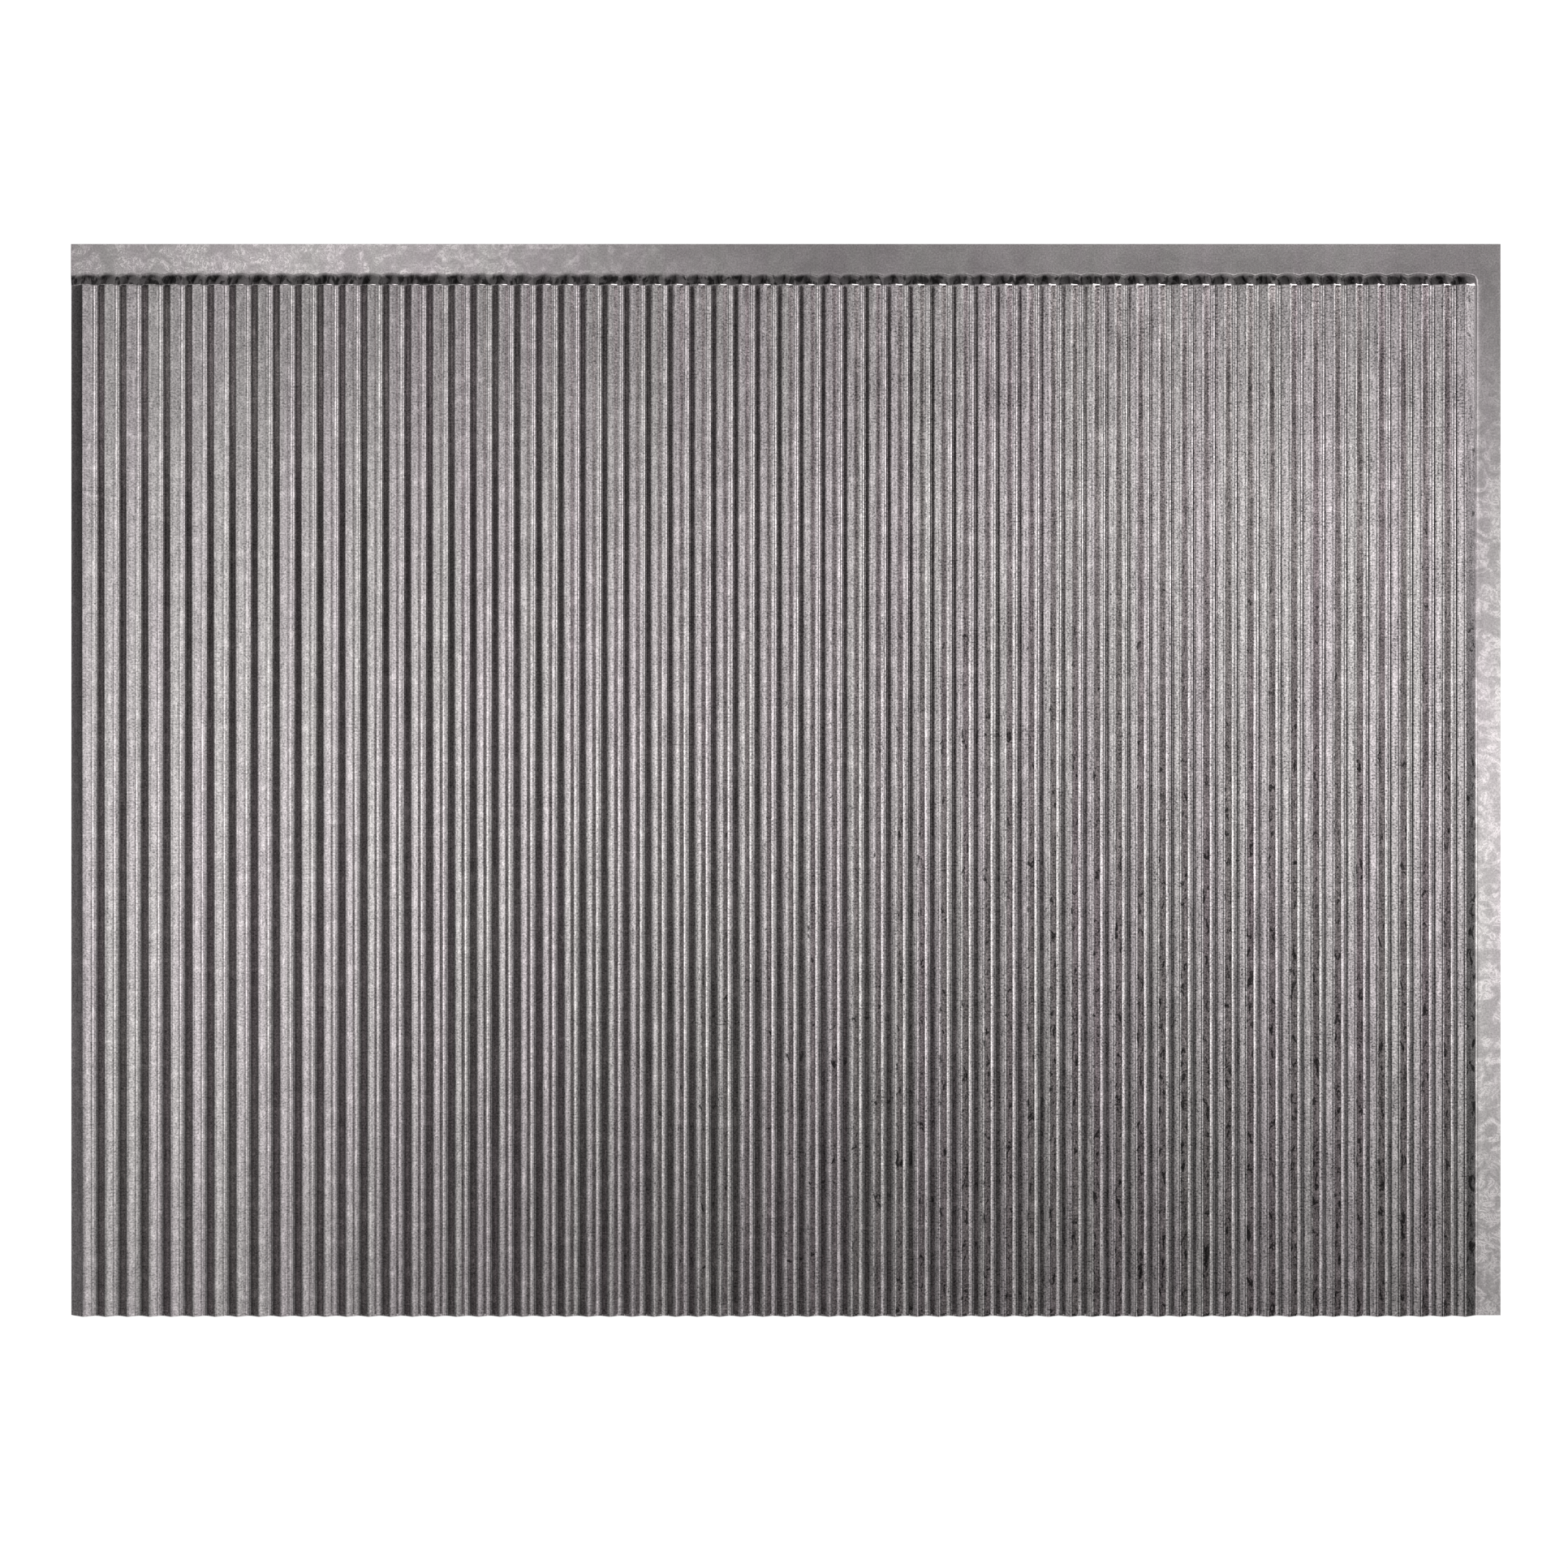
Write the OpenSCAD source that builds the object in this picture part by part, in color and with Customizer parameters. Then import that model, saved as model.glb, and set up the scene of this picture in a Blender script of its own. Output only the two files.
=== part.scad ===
// Ribbed wall panel: one sheet formed into a field of close vertical ribs. It lies flat, face up.
// +x runs across the ribs, +y runs along them to the closed ends, +z comes out of the face.

/* [Panel] */
// overall width, across the ribs
overall_w = 622.3; // [240:0.1:700]
// overall height, along the ribs
overall_h = 466.3; // [120:0.1:900]
// thickness of the sheet
sheet_t = 0.7; // [0.5:0.05:1.1]

/* [Ribs] */
// crest to crest spacing aimed at; the count is whole, so the true pitch is evened out to fit
rib_pitch = 9.525; // [8.5:0.025:16]
// trough to crest, on the face
rib_rise = 3.3; // [1.5:0.05:4]
// bend inside the crests, on the back; the face's crest is rounder by the sheet's thickness
crest_bend = 0.1; // [0.05:0.05:1.5]
// round of the troughs, on the face
trough_radius = 2.2; // [0.8:0.05:3]
// how far the troughs stand above the laps
field_lift = 1.55; // [0.4:0.05:2.5]

/* [Laps] */
// depth of the flat lap above the closed rib ends
head_lap = 13.0; // [6:0.1:30]
// width of the flat lap beside the last rib
side_lap = 9.75; // [5:0.05:24]
// round where the last rib runs out into the side lap
side_foot_radius = 2.4; // [1.6:0.05:4]

/* [Closed rib ends] */
// plan length of the sloped end, from the flat crest down to the lap
end_run = 5.0; // [4:0.05:9]
// plan radius of the bow in each rib end's foot
end_bow_radius = 14.6; // [12:0.1:60]
// round at the foot of the sloped end
end_foot_radius = 2.8; // [1.6:0.05:4]
// round where the sloped end turns over onto the crest
end_brow_radius = 2.0; // [1.6:0.05:3]

/* [Hidden] */
// heights on the face: lap, trough and crest
z_lap = sheet_t;
z_trough = z_lap + field_lift;
z_crest = z_trough + rib_rise;
full_rise = rib_rise + field_lift;

// slope of the straight line between a top round and a foot round whose centres lie `run` apart
function slope_of(run, rise, radii) =
    atan2(run, radii - rise) - acos(min(0.999, radii / norm([run, radii - rise])));
// run taken by two rounds joined by a straight line of a known slope
function run_of(slope, rise, radii) =
    radii * sin(slope) + (rise - radii * (1 - cos(slope))) / tan(slope);
// the largest sum of two rounds that a run holds
function room(run, rise) = 0.94 * (run * run + rise * rise) / (2 * rise);

// the rounds and the flank's slope follow from the pitch aimed at
r_crest = sheet_t + crest_bend;
r_trough = min(trough_radius, room(rib_pitch / 2, rib_rise) - r_crest);
flank = slope_of(rib_pitch / 2, rib_rise, r_crest + r_trough);
// the first flank runs straight down to the wall plane, and the last one rounds out into the lap
edge_run = r_crest * sin(flank) + (z_crest - r_crest * (1 - cos(flank))) / tan(flank);
foot_run = run_of(flank, full_rise, r_crest + side_foot_radius);

// a whole number of ribs fills what is left, and the troughs take up the difference in pitch
rib_span = overall_w - side_lap - edge_run - foot_run;
ribs = 1 + round(rib_span / rib_pitch);
pitch = rib_span / (ribs - 1);
x_first = -overall_w / 2 + edge_run;
x_last = x_first + (ribs - 1) * pitch;
trough_slope = slope_of(pitch / 2, rib_rise, r_crest + r_trough);

// the sloped ends: rounds and slope along the ribs
end_ease = min(1, room(end_run, full_rise) / (end_foot_radius + end_brow_radius));
r_foot = end_foot_radius * end_ease;
r_brow = end_brow_radius * end_ease;
end_slope = slope_of(end_run, full_rise, r_foot + r_brow);
y_head = overall_h / 2;
y_foot = y_head - head_lap;
y_brow = y_foot - end_run;

// Stations across the panel, each [x, height, slope] on the face; slope leans to +x.
function on_round(x, top, r, slope) = [x + r * sin(slope), top - r * (1 - cos(slope)), slope];
function in_round(x, low, r, slope) = [x - r * sin(slope), low + r * (1 - cos(slope)), slope];
function crest(i) = [for (q = [-1 : 1])
    let (s = q < 0 && i == 0 || q > 0 && i == ribs - 1 ? flank : trough_slope)
    on_round(x_first + i * pitch, z_crest, r_crest, q * s)];
function trough(i) = [for (q = [1 : -0.5 : -1])
    in_round(x_first + (i + 0.5) * pitch, z_trough, r_trough, q * trough_slope)];
across = [
    [-overall_w / 2, 0, -flank],
    for (i = [0 : ribs - 1]) each concat(crest(i), i < ribs - 1 ? trough(i) : []),
    for (q = [1, 0.5, 0]) in_round(x_last + foot_run, z_lap, side_foot_radius, q * flank),
    [overall_w / 2, z_lap, 0]
];

// Stations along the ribs, each [y, share of the full height, fall, share of the bow].
function share(z) = (z - z_lap) / full_rise;
brow_end = on_round(y_brow, z_crest, r_brow, end_slope);
foot_start = in_round(y_foot, z_lap, r_foot, end_slope);
along = [
    [-overall_h / 2, 1, 0, 0],
    [y_brow, 1, 0, 0],
    [brow_end[0], share(brow_end[1]), tan(end_slope), (brow_end[0] - y_brow) / end_run],
    [foot_start[0], share(foot_start[1]), tan(end_slope), (foot_start[0] - y_brow) / end_run],
    [y_foot, 0, 0, 1]
];

// how far the foot of a rib end falls back from its tip, at x
function off_crest(x) = let (i = max(0, min(ribs - 1, round((x - x_first) / pitch))))
    min(foot_run, abs(x - x_first - i * pitch));
function bow(x) = sqrt(pow(end_bow_radius, 2) - pow(off_crest(x), 2)) - end_bow_radius;

// a point of the face, and the point of the back that lies one thickness behind it
function face_point(a, b) = [a[0], b[0] + bow(a[0]) * b[3], z_lap + (a[1] - z_lap) * b[1]];
function out_of(a, b) =
    let (n = [b[1] * tan(a[2]), b[2] * (a[1] - z_lap) / full_rise, 1]) n / norm(n);
function back_point(a, b) = a[1] == 0
    ? [a[0] + sheet_t / sin(flank) * b[1], face_point(a, b)[1], 0]
    : face_point(a, b) - sheet_t * out_of(a, b);

// the sheet: face and back lofted through the same stations, the head lap, and the edges that
// close them; a point list holds the stations of the face, then the back, then the head edge
module lofted_sheet() {
    nx = len(across);
    ny = len(along);
    back = nx * ny;
    head = 2 * back;
    // the head edge has a point over each trough and at both ends
    cells = [for (i = [0 : ribs]) i == 0 ? 0 : i == ribs ? nx - 1 : 8 * i - 2];
    points = concat(
        [for (b = along) for (a = across) face_point(a, b)],
        [for (b = along) for (a = across) back_point(a, b)],
        [for (z = [z_lap, 0]) for (c = cells) [across[c][0], y_head, z]]
    );
    // two triangles for each square of stations, turned so that they face outward
    function patch(p, q, r, s) = [[p, q, r], [p, r, s]];
    function turned(faces) = [for (f = faces) [for (i = [len(f) - 1 : -1 : 0]) f[i]]];
    foot = (ny - 1) * nx;
    polyhedron(points, [
        // ribs and their sloped ends
        for (j = [0 : ny - 2]) for (i = [0 : nx - 2]) let (k = j * nx + i)
            each concat(patch(k, k + nx, k + nx + 1, k + 1),
                turned(patch(back + k, back + k + nx, back + k + nx + 1, back + k + 1))),
        // head lap, one piece over each rib
        for (i = [0 : ribs - 1]) let (feet = [for (c = [cells[i + 1] : -1 : cells[i]]) foot + c])
            each [concat([head + i, head + i + 1], feet),
                turned([concat([head + i, head + i + 1] + [ribs + 1, ribs + 1],
                    [for (f = feet) back + f])])[0]],
        // open ends of the ribs, and the head edge
        for (i = [0 : nx - 2]) each patch(i, i + 1, back + i + 1, back + i),
        for (i = [head : head + ribs - 1])
            each turned(patch(i, i + 1, i + ribs + 2, i + ribs + 1)),
        // cut edge and side lap's edge
        for (j = [0 : ny - 2]) let (k = j * nx, m = k + nx - 1)
            each concat(patch(k, back + k, back + k + nx, k + nx),
                turned(patch(m, back + m, back + m + nx, m + nx))),
        each patch(foot, back + foot, head + ribs + 1, head),
        each turned(patch(foot + nx - 1, back + foot + nx - 1, head + 2 * ribs + 1, head + ribs))
    ], convexity = 10);
}

module panel_sheet() {
    color([0.66, 0.66, 0.68]) lofted_sheet();
}

panel_sheet();
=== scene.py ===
"""Looks of a ribbed wall panel that lies face up on a pale floor.

One flat blank is pressed into close ribs with closed heads and two flat laps, given its
thickness and its sheared edges, and finished as spangled zinc-grey metal. A studio surround,
a floor and a camera straight above complete the set.
"""
from __future__ import annotations

import logging
import math
from dataclasses import dataclass
from enum import Enum
from typing import Any, Callable, Optional, Sequence, Union

import bmesh
import bpy
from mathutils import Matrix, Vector


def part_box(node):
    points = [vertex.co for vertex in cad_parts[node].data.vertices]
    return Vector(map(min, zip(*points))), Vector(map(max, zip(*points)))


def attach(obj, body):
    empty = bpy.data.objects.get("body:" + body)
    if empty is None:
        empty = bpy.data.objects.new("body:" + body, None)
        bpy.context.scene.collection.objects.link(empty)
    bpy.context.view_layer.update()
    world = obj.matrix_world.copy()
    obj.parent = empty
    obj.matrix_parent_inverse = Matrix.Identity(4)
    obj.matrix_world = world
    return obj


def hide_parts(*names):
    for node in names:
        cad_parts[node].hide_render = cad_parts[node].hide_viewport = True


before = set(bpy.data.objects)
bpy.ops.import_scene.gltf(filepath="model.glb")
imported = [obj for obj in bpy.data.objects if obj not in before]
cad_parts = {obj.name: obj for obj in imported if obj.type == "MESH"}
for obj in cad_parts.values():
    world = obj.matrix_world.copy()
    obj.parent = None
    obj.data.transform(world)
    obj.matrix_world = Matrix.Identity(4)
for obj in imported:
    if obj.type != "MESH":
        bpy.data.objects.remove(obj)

LOG = logging.getLogger("panel")

MM = 0.001
BODY = "root"
SHEET_NODE = "panel_sheet"
# attribute that holds how steeply the sheet leans to the right: the sine of the angle
LEAN = "lean"
# sockets of a Mix node that take its two colours, and the one that gives the mixed colour
MIX_COLOURS = (6, 7)
MIX_RESULT = 2
# degrees from straight up down to the horizon
QUARTER = 90
# the surround's levels are written in hundredths
HUNDRED = 100
# share of the room between two bends that their rounds may fill
ROOM_SHARE = 0.94
# keeps the slope between two rounds short of upright
STEEPEST = 0.999
# the value that every noise swings around
MIDDLE = 0.5

Number = Union[int, float]
Operand = Union["Socket", int, float]
Span = tuple[float, float]
Colour = tuple[float, float, float]


class Math(Enum):
    """Operations of a Math node that the finishes and the surround use."""

    ADD = "ADD"
    SUBTRACT = "SUBTRACT"
    MULTIPLY = "MULTIPLY"
    DIVIDE = "DIVIDE"
    POWER = "POWER"
    MINIMUM = "MINIMUM"
    MAXIMUM = "MAXIMUM"
    ABSOLUTE = "ABSOLUTE"
    ANGLE = "ARCTAN2"


class Edge(Enum):
    """How a value rises from 0 to 1."""

    STRAIGHT = "LINEAR"
    EASED = "SMOOTHSTEP"


@dataclass(frozen=True)
class Pattern:
    """One noise of a finish.

    Attributes:
        per_metre: how many waves fit in a metre.
        detail: how many finer layers it has.
        rough: strength of the finer layers.
        bend: how far it is distorted.
        along: how dense it is along the ribs, as a share of how dense it is across them.
        layer: the level that it is cut at, so that no two patterns share their spots.
    """

    per_metre: float
    detail: float
    rough: float
    bend: float = 0.0
    along: float = 1.0
    layer: float = 0.0


# ---------------------------------------------------------------- shader maths


class Socket:
    """A shader value that can be used in Python expressions."""

    def __init__(self, graph: "Graph", link: Optional[bpy.types.NodeSocket]) -> None:
        """Wraps an output socket.

        Args:
            graph: the graph that the socket belongs to.
            link: the node's output socket, or None for a node that gives nothing.
        """
        self.graph = graph
        self.link = link

    def _with(self, operation: Math, first: Operand, second: Operand = 0.0) -> "Socket":
        """Adds a Math node.

        Args:
            operation: what it does.
            first: its first operand.
            second: its second operand, where it has one.

        Returns:
            The node's result.
        """
        return self.graph.node(
            "ShaderNodeMath", {"operation": operation.value}, {0: first, 1: second})

    def __add__(self, other: Operand) -> "Socket":
        """self + other."""
        return self._with(Math.ADD, self, other)

    def __radd__(self, other: Number) -> "Socket":
        """other + self."""
        return self._with(Math.ADD, other, self)

    def __sub__(self, other: Operand) -> "Socket":
        """self - other."""
        return self._with(Math.SUBTRACT, self, other)

    def __rsub__(self, other: Number) -> "Socket":
        """other - self."""
        return self._with(Math.SUBTRACT, other, self)

    def __mul__(self, other: Operand) -> "Socket":
        """self * other."""
        return self._with(Math.MULTIPLY, self, other)

    def __rmul__(self, other: Number) -> "Socket":
        """other * self."""
        return self._with(Math.MULTIPLY, other, self)

    def __truediv__(self, other: Operand) -> "Socket":
        """self / other."""
        return self._with(Math.DIVIDE, self, other)

    def __pow__(self, other: Operand) -> "Socket":
        """self to the power of other."""
        return self._with(Math.POWER, self, other)

    def __abs__(self) -> "Socket":
        """Size of self without its sign."""
        return self._with(Math.ABSOLUTE, self)

    def most(self, other: Operand) -> "Socket":
        """The larger of self and other."""
        return self._with(Math.MAXIMUM, self, other)

    def least(self, other: Operand) -> "Socket":
        """The smaller of self and other."""
        return self._with(Math.MINIMUM, self, other)

    def angle_from(self, other: "Socket") -> "Socket":
        """Angle whose tangent is self over other, in radians."""
        return self._with(Math.ANGLE, self, other)

    def ramp(self, low: Number, high: Number, edge: Edge = Edge.EASED) -> "Socket":
        """Rises from 0 at low to 1 at high.

        Args:
            low: value of self where the result leaves 0.
            high: value of self where the result reaches 1.
            edge: shape of the rise.

        Returns:
            The rise as a socket.
        """
        return self.graph.node(
            "ShaderNodeMapRange",
            {"interpolation_type": edge.value, "clamp": True},
            {"Value": self, "From Min": low, "From Max": high, "To Min": 0.0, "To Max": 1.0},
            "Result")

    def spread(self, low: Number, high: Number) -> "Socket":
        """Stretches self from 0 to 1 over another range.

        Args:
            low: the result where self is 0.
            high: the result where self is 1.

        Returns:
            The stretched value.
        """
        return low + (high - low) * self


class Graph:
    """The nodes of one material or of the world."""

    def __init__(self, tree: bpy.types.NodeTree) -> None:
        """Empties the tree and takes it over.

        Args:
            tree: the node tree to fill.
        """
        self.tree = tree
        tree.nodes.clear()

    def node(self, kind: str, settings: Optional[dict[str, Any]] = None,
             inputs: Optional[dict[Union[str, int], Any]] = None,
             output: Union[str, int] = 0) -> Socket:
        """Adds a node.

        Args:
            kind: the node's type.
            settings: its properties, set before its sockets.
            inputs: the values or sockets that go into it, by socket name or number.
            output: name or number of the output that is handed back.

        Returns:
            The chosen output as a socket.
        """
        made = self.tree.nodes.new(kind)
        for name, value in (settings or {}).items():
            if name == "stops":
                self._set_stops(made.color_ramp, value)
            else:
                setattr(made, name, value)
        for name, value in (inputs or {}).items():
            if isinstance(value, Socket):
                self.tree.links.new(value.link, made.inputs[name])
            else:
                made.inputs[name].default_value = value
        return Socket(self, made.outputs[output] if len(made.outputs) else None)

    @staticmethod
    def _set_stops(ramp: bpy.types.ColorRamp, stops: Sequence[tuple[float, tuple]]) -> None:
        """Gives a colour ramp its stops.

        Args:
            ramp: the ramp, with two stops or more.
            stops: the new stops, each (place, colour).
        """
        while len(ramp.elements) < len(stops):
            ramp.elements.new(1.0)
        for element, (place, colour) in zip(ramp.elements, stops):
            element.position = place
            element.color = (*colour, 1.0)

    def parts(self, vector: Socket) -> tuple[Socket, Socket, Socket]:
        """Takes a vector apart.

        Args:
            vector: the vector.

        Returns:
            Its x, y and z.
        """
        split = self.node("ShaderNodeSeparateXYZ", None, {0: vector})
        outputs = split.link.node.outputs
        return tuple(Socket(self, outputs[i]) for i in range(3))

    def vector(self, x: Operand, y: Operand, z: Operand = 0.0) -> Socket:
        """Makes a vector from three numbers.

        Args:
            x: its first part.
            y: its second part.
            z: its third part.

        Returns:
            The vector.
        """
        return self.node("ShaderNodeCombineXYZ", None, {0: x, 1: y, 2: z})

    def mix(self, share: Operand, first: Any, second: Any, blend: str = "MIX") -> Socket:
        """Mixes two colours.

        Args:
            share: how much of the second.
            first: colour or socket.
            second: colour or socket.
            blend: the Mix node's blend type.

        Returns:
            The mixed colour.
        """
        inputs = {0: share}
        for number, value in zip(MIX_COLOURS, (first, second)):
            inputs[number] = value if isinstance(value, Socket) else (*value, 1.0)
        return self.node(
            "ShaderNodeMix", {"data_type": "RGBA", "blend_type": blend}, inputs, MIX_RESULT)

    def noise(self, x: Socket, y: Socket, pattern: Pattern) -> Socket:
        """Cloudy noise around the middle of 0 to 1.

        Args:
            x: place across the panel, in metres.
            y: place along the ribs, in metres.
            pattern: its size and its character.

        Returns:
            The noise as a socket.
        """
        place = self.vector(x, y * pattern.along, pattern.layer)
        return self.node(
            "ShaderNodeTexNoise", {"noise_dimensions": "3D", "normalize": True},
            {"Vector": place, "Scale": pattern.per_metre, "Detail": pattern.detail,
             "Roughness": pattern.rough, "Distortion": pattern.bend}, "Fac")

    def lean(self) -> Socket:
        """How steeply the sheet leans to the right, below 0 where it leans to the left."""
        return self.node("ShaderNodeAttribute", {"attribute_name": LEAN}, None, "Fac")


# ---------------------------------------------------------------- the sheet's form


@dataclass(frozen=True)
class Station:
    """A place across the panel.

    Attributes:
        x: where it is.
        height: how high the face is there.
        lean: the face's slope in radians, above 0 where it faces right.
    """

    x: float
    height: float
    lean: float


@dataclass(frozen=True)
class Row:
    """A place along the ribs.

    Attributes:
        y: where it is.
        share: share of the ribs' full height that is left there.
        fall: tangent of the slope towards the head lap.
        bow: share of the rib heads' bow that shows there.
    """

    y: float
    share: float
    fall: float
    bow: float


def room(run: float, rise: float) -> float:
    """The largest sum of two rounds that a run holds.

    Args:
        run: distance between the two rounds' centres, along the wall.
        rise: height between the crown of one and the bottom of the other.

    Returns:
        The sum of their radii.
    """
    return ROOM_SHARE * (run * run + rise * rise) / (2 * rise)


def slope_of(run: float, rise: float, radii: float) -> float:
    """Slope of the straight line between a top round and a foot round.

    Args:
        run: distance between the two rounds' centres, along the wall.
        rise: height between the crown of one and the bottom of the other.
        radii: sum of the two radii.

    Returns:
        The slope in radians.
    """
    return math.atan2(run, radii - rise) - math.acos(
        min(STEEPEST, radii / math.hypot(run, radii - rise)))


def run_of(slope: float, rise: float, radii: float) -> float:
    """Run taken by two rounds joined by a straight line of a known slope.

    Args:
        slope: the line's slope in radians.
        rise: height between the crown of one round and the bottom of the other.
        radii: sum of the two radii.

    Returns:
        The distance between the rounds' centres, along the wall.
    """
    return radii * math.sin(slope) + (rise - radii * (1 - math.cos(slope))) / math.tan(slope)


def steps(count: int, first: float = -1.0, last: float = 1.0) -> list[float]:
    """Evenly spread values.

    Args:
        count: how many steps there are between them.
        first: the first value.
        last: the last value.

    Returns:
        The values, both ends included.
    """
    return [first + (last - first) * k / count for k in range(count + 1)]


@dataclass
class RibField:
    """The section across the panel: close ribs between a cut edge and a flat side lap."""

    width: float
    crest_height: float
    sheet: float = 0.7 * MM
    lift: float = 1.55 * MM
    pitch_aim: float = 9.525 * MM
    crest_bend: float = 0.1 * MM
    trough_radius: float = 2.2 * MM
    side_lap: float = 9.75 * MM
    side_foot_radius: float = 2.4 * MM
    round_steps: int = 4
    # how many cuts the height of a flank is summed over
    flank_cuts: int = 400
    # lean of a flank in degrees, by share of the way from a crest to a trough; data and not a
    # design, as a separate program searched for these
    leans: tuple[tuple[float, float], ...] = (
        (0.0, 0.0), (0.05, 37.8), (0.12, 39.1), (0.25, 41.4), (0.4, 41.5),
        (0.55, 41.4), (0.7, 35.4), (0.82, 21.9), (0.92, 18.8), (1.0, 0.0))
    # places down a flank, as shares of the way from a crest to a trough
    shares: tuple[float, ...] = (
        0.0, 0.025, 0.05, 0.12, 0.25, 0.4, 0.55, 0.63, 0.7, 0.76, 0.82, 0.92, 1.0)
    # places over the flat of the side lap, as shares of its width
    lap_shares: tuple[float, ...] = (0.3, 0.6, 0.85, 1.0)

    def __post_init__(self) -> None:
        """Works out the rounds, the slopes and the even pitch."""
        self.full_rise = self.crest_height - self.sheet
        self.rise = self.full_rise - self.lift
        half = self.pitch_aim / 2
        self.crest = self.sheet + self.crest_bend
        self.trough = min(self.trough_radius, room(half, self.rise) - self.crest)
        self.flank = slope_of(half, self.rise, self.crest + self.trough)
        self.edge_run = (self.crest * math.sin(self.flank)
                         + (self.crest_height - self.crest * (1 - math.cos(self.flank)))
                         / math.tan(self.flank))
        self.foot_run = run_of(self.flank, self.full_rise, self.crest + self.side_foot_radius)
        span = self.width - self.side_lap - self.edge_run - self.foot_run
        self.ribs = 1 + round(span / self.pitch_aim)
        self.pitch = span / (self.ribs - 1)
        self.x_first = -self.width / 2 + self.edge_run
        self.x_last = self.x_first + span
        self.half = self.press_flank()

    def press_flank(self) -> list[tuple[float, float, float]]:
        """The form of one flank, worked out from how it leans.

        Returns:
            Places from the crest to the trough, each (run, drop, lean).
        """
        cuts = self.flank_cuts
        drop, run, found = 0.0, self.pitch / 2, []
        wanted = {round(share * cuts) for share in self.shares}
        for k in range(cuts + 1):
            lean = self.lean_at(k / cuts)
            if k:
                middle = self.lean_at((k - 0.5) / cuts)
                drop += math.tan(middle) * run / cuts
            if k in wanted:
                found.append((run * k / cuts, drop, lean))
        return found

    def lean_at(self, share: float) -> float:
        """How a flank leans.

        Args:
            share: share of the way from a crest to a trough.

        Returns:
            The lean in radians.
        """
        for (low, first), (high, last) in zip(self.leans, self.leans[1:]):
            if share <= high:
                return math.radians(first + (last - first) * (share - low) / (high - low))
        return 0.0

    def on_crest(self, x: float, q: float) -> Station:
        """A place on the outer round of the first or the last crest.

        Args:
            x: the crest's place.
            q: share of the round, below 0 on the left.

        Returns:
            The station there.
        """
        lean = q * self.flank
        return Station(x + self.crest * math.sin(lean),
                       self.crest_height - self.crest * (1 - math.cos(lean)), lean)

    def rib(self, number: int) -> list[Station]:
        """The stations of one rib.

        Args:
            number: which rib, counted from 0 at the cut edge.

        Returns:
            Its stations, from the trough on its left to just short of the one on its right.
        """
        x = self.x_first + number * self.pitch
        left = [Station(x - run, self.crest_height - drop, -lean)
                for run, drop, lean in self.half[::-1]]
        right = [Station(x + run, self.crest_height - drop, lean)
                 for run, drop, lean in self.half]
        if number == 0:
            left = [self.on_crest(x, q) for q in steps(self.round_steps, -1.0, 0.0)]
        if number == self.ribs - 1:
            right = [self.on_crest(x, q) for q in steps(self.round_steps, 0.0, 1.0)]
        return left[:-1] + right[:-1 if number < self.ribs - 1 else None]

    def stations(self) -> list[Station]:
        """All stations from the cut edge to the side lap's edge."""
        found = [Station(-self.width / 2, 0.0, -self.flank)]
        for number in range(self.ribs):
            found += self.rib(number)
        foot, low = self.x_last + self.foot_run, self.sheet
        for q in steps(self.round_steps, 1.0, 0.0):
            lean = q * self.flank
            found.append(Station(foot - self.side_foot_radius * math.sin(lean),
                                 low + self.side_foot_radius * (1 - math.cos(lean)), lean))
        inner = self.width / 2 - foot
        found += [Station(foot + inner * q, low, 0.0) for q in self.lap_shares]
        return found

    def crest_near(self, x: float) -> float:
        """Where the crest nearest to x is."""
        number = round((x - self.x_first) / self.pitch)
        return self.x_first + self.pitch * max(0, min(self.ribs - 1, number))

    def off_crest(self, x: float) -> float:
        """Distance from x to the nearest crest, no more than the last rib's foot."""
        return min(self.foot_run, abs(x - self.crest_near(x)))


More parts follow.
